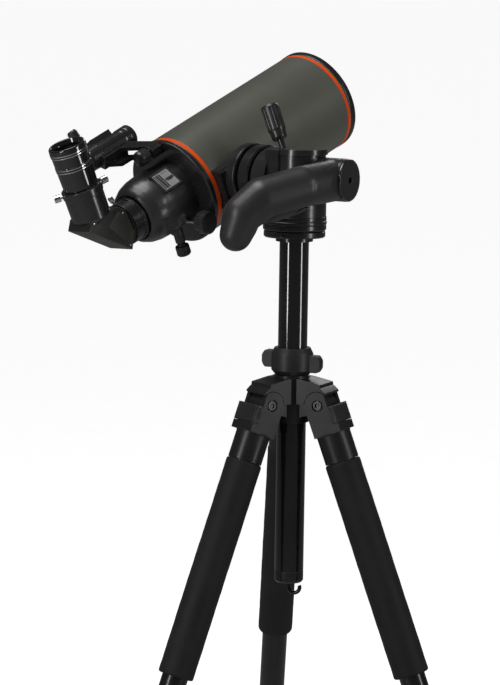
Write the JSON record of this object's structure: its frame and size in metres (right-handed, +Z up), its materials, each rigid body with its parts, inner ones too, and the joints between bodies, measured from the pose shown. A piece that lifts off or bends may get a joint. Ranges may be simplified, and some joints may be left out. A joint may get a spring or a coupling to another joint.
{
  "type": "refractor telescope on tripod",
  "caption": "Short refractor telescope on a pistol-grip ball head, with a folding three-leg stand, rack focuser, star diagonal and small finder.",
  "frame": {"origin": "on the floor under the middle of the stand's footprint box", "axes": "+Z up; +Y towards the single rear leg, so the grip and the two front legs are on the -Y side; +X to the right seen from there"},
  "size_m": [0.7098, 0.6186, 1.2876],
  "materials": {
    "crown_plastic": "dark grey moulded crown and leg castings, faint satin",
    "tab_plastic": "dark grey ribbed tabs and collars",
    "bolt_steel": "blackened steel pivot bolts with hex sockets",
    "gloss_tube": "gloss black anodised tube",
    "foam": "black closed-cell foam",
    "foot_rubber": "black moulded rubber feet",
    "cap_plastic": "black moulded end cap",
    "hook_steel": "bright plated steel hook",
    "head_metal": "black anodised turned head parts",
    "head_shell": "black satin moulded head body",
    "knob_plastic": "black fluted knobs",
    "grip_soft": "satin black soft-touch handle",
    "trigger_plastic": "black lever and end cap",
    "tube_paint": "dark olive-grey satin paint on the main tube",
    "orange_trim": "orange-red trim bands",
    "cell_black": "black cell and focuser mouldings",
    "optic_glass": "coated optical glass",
    "index_silver": "plain satin index plate, markings left out",
    "draw_black": "black satin drawtube",
    "pinion_steel": "steel pinion shaft",
    "diagonal_black": "black diagonal body and socket",
    "diagonal_side": "olive-black side covers",
    "screw_chrome": "bright thumbscrews",
    "eyepiece_black": "gloss black eyepiece barrel with fine bright lines"
  },
  "bodies": {
    "base": {"hub_spider": "crown_plastic", "pivot_bolts": "bolt_steel"},
    "collar": {"column_lock": "tab_plastic"},
    "column": {"center_column": "gloss_tube", "column_end_cap": "cap_plastic", "head_base": "head_metal"},
    "hook": {"weight_hook": "hook_steel"},
    "head": {"pan_ring": "head_metal", "head_body": "head_shell", "hand_grip": "grip_soft", "grip_end_cap": "trigger_plastic"},
    "tension": {"tension_knob": "knob_plastic"},
    "trigger": {"grip_trigger": "trigger_plastic"},
    "ball": {"ball_stem": "head_metal"},
    "scope": {"clamp_plate": "head_metal", "tube_foot": "cell_black", "main_tube": "tube_paint", "trim_bands": "orange_trim", "front_cell": "cell_black", "objective_lenses": "optic_glass", "lens_retainer": "cell_black", "rear_cell": "cell_black", "focuser_body": "cell_black", "index_plate": "index_silver", "finder_bracket": "cell_black", "finder_scope": "cell_black"},
    "draw": {"drawtube": "draw_black"},
    "pinion": {"focus_pinion": "pinion_steel", "focus_knobs": "knob_plastic"},
    "draw_lock": {"focus_lock": "knob_plastic"},
    "diagonal": {"diagonal_housing": "diagonal_black", "diagonal_plates": "diagonal_side", "diagonal_prism": "optic_glass", "eyepiece_socket": "diagonal_black", "socket_screws": "screw_chrome"},
    "eyepiece": {"eyepiece_body": "eyepiece_black", "eyepiece_lenses": "optic_glass"},
    "dial": {"finder_dial": "knob_plastic"},
    "clamp": {"finder_clamp": "knob_plastic"},
    "leg_l": {"leg_casting_l": "crown_plastic", "upper_tube_l": "gloss_tube", "foam_grip_l": "foam"},
    "tab_l": {"angle_tab_l": "tab_plastic"},
    "lock_l": {"leg_lock_l": "tab_plastic"},
    "lower_l": {"lower_leg_l": "gloss_tube", "foot_l": "foot_rubber"},
    "leg_r": {"leg_casting_r": "crown_plastic", "upper_tube_r": "gloss_tube", "foam_grip_r": "foam"},
    "tab_r": {"angle_tab_r": "tab_plastic"},
    "lock_r": {"leg_lock_r": "tab_plastic"},
    "lower_r": {"lower_leg_r": "gloss_tube", "foot_r": "foot_rubber"},
    "leg_b": {"leg_casting_b": "crown_plastic", "upper_tube_b": "gloss_tube", "foam_grip_b": "foam"},
    "tab_b": {"angle_tab_b": "tab_plastic"},
    "lock_b": {"leg_lock_b": "tab_plastic"},
    "lower_b": {"lower_leg_b": "gloss_tube", "foot_b": "foot_rubber"}
  },
  "joints": [
    {"name": "leg_fold_l", "type": "hinge", "parent": "base", "child": "leg_l", "pos_m": [-0.02927, -0.11502, 0.95917], "axis": [0.5, -0.866, 0], "range_deg": [0, 18]},
    {"name": "angle_tab_pull_l", "type": "slide", "parent": "leg_l", "child": "tab_l", "axis": [-0.8096, -0.4674, 0.3551], "range_m": [0, 0.006]},
    {"name": "leg_lock_turn_l", "type": "hinge", "parent": "leg_l", "child": "lock_l", "pos_m": [-0.18919, -0.20734, 0.47307], "axis": [-0.3075, -0.1776, -0.9348], "range_deg": [0, 120]},
    {"name": "leg_extend_l", "type": "slide", "parent": "leg_l", "child": "lower_l", "axis": [-0.3075, -0.1776, -0.9348], "range_m": [-0.4, 0]},
    {"name": "leg_fold_r", "type": "hinge", "parent": "base", "child": "leg_r", "pos_m": [0.02927, -0.11502, 0.95917], "axis": [0.5, 0.866, 0], "range_deg": [0, 18]},
    {"name": "angle_tab_pull_r", "type": "slide", "parent": "leg_r", "child": "tab_r", "axis": [0.8096, -0.4674, 0.3551], "range_m": [0, 0.006]},
    {"name": "leg_lock_turn_r", "type": "hinge", "parent": "leg_r", "child": "lock_r", "pos_m": [0.18919, -0.20734, 0.47307], "axis": [0.3075, -0.1776, -0.9348], "range_deg": [0, 120]},
    {"name": "leg_extend_r", "type": "slide", "parent": "leg_r", "child": "lower_r", "axis": [0.3075, -0.1776, -0.9348], "range_m": [-0.4, 0]},
    {"name": "leg_fold_b", "type": "hinge", "parent": "base", "child": "leg_b", "pos_m": [0, -0.06431, 0.95917], "axis": [-1, 0, 0], "range_deg": [0, 18]},
    {"name": "angle_tab_pull_b", "type": "slide", "parent": "leg_b", "child": "tab_b", "axis": [0, 0.9348, 0.3551], "range_m": [0, 0.006]},
    {"name": "leg_lock_turn_b", "type": "hinge", "parent": "leg_b", "child": "lock_b", "pos_m": [0, 0.12034, 0.47307], "axis": [0, 0.3551, -0.9348], "range_deg": [0, 120]},
    {"name": "leg_extend_b", "type": "slide", "parent": "leg_b", "child": "lower_b", "axis": [0, 0.3551, -0.9348], "range_m": [-0.4, 0]},
    {"name": "column_lock_turn", "type": "hinge", "parent": "base", "child": "collar", "pos_m": [0, -0.09811, 0.99917], "axis": [0, 0, 1], "range_deg": [-60, 0]},
    {"name": "column_slide", "type": "slide", "parent": "base", "child": "column", "axis": [0, 0, 1], "range_m": [-0.05, 0.11]},
    {"name": "hook_swivel", "type": "hinge", "parent": "column", "child": "hook", "pos_m": [0, -0.09811, 0.78917], "axis": [0, 0, 1], "continuous": true},
    {"name": "head_pan", "type": "hinge", "parent": "column", "child": "head", "pos_m": [0, -0.09811, 1.12417], "axis": [0, 0, 1], "continuous": true},
    {"name": "grip_squeeze", "type": "hinge", "parent": "head", "child": "trigger", "pos_m": [0.0023, -0.15169, 1.15142], "axis": [-0.309, 0.9511, 0], "range_deg": [0, 4], "stiffness_Nm_per_rad": 0.5},
    {"name": "tension_turn", "type": "hinge", "parent": "head", "child": "tension", "pos_m": [-0.0123, -0.09212, 1.20337], "axis": [-0.2873, 0.3311, 0.8988], "range_deg": [-180, 60]},
    {"name": "ball_swing", "type": "hinge", "parent": "head", "child": "ball", "pos_m": [0, -0.09811, 1.17217], "axis": [-0.7554, -0.6553, 0], "range_deg": [-4, 4]},
    {"name": "tube_altitude", "type": "hinge", "parent": "ball", "child": "scope", "pos_m": [-0.03735, -0.05506, 1.17217], "axis": [-0.6553, 0.7554, 0], "range_deg": [-45, 30]},
    {"name": "focus_travel", "type": "slide", "parent": "scope", "child": "draw", "axis": [-0.6953, -0.6032, -0.3907], "range_m": [-0.004, 0.038]},
    {"name": "focus_turn", "type": "hinge", "parent": "scope", "child": "pinion", "pos_m": [-0.11435, -0.03448, 1.12822], "axis": [-0.6553, 0.7554, 0], "range_deg": [-620, 70]},
    {"name": "draw_lock_turn", "type": "hinge", "parent": "scope", "child": "draw_lock", "pos_m": [-0.10313, -0.03931, 1.10114], "axis": [0.2952, 0.256, -0.9205], "range_deg": [-180, 90]},
    {"name": "diagonal_turn", "type": "hinge", "parent": "draw", "child": "diagonal", "pos_m": [-0.15987, -0.07396, 1.12763], "axis": [0.6953, 0.6032, 0.3907], "range_deg": [-90, 30]},
    {"name": "eyepiece_lift", "type": "slide", "parent": "diagonal", "child": "eyepiece", "axis": [-0.3246, -0.2215, 0.9196], "range_m": [0, 0.02]},
    {"name": "dial_turn", "type": "hinge", "parent": "scope", "child": "dial", "pos_m": [-0.19249, -0.05328, 1.18702], "axis": [-0.5975, 0.1832, 0.7806], "range_deg": [-150, 150]},
    {"name": "clamp_turn", "type": "hinge", "parent": "scope", "child": "clamp", "pos_m": [-0.14321, -0.05687, 1.18933], "axis": [0.6953, 0.6032, 0.3907], "range_deg": [-90, 180]}
  ],
  "couplings": [
    {"joint": "focus_turn", "follows": "focus_travel", "rad_per_m": -280}
  ]
}
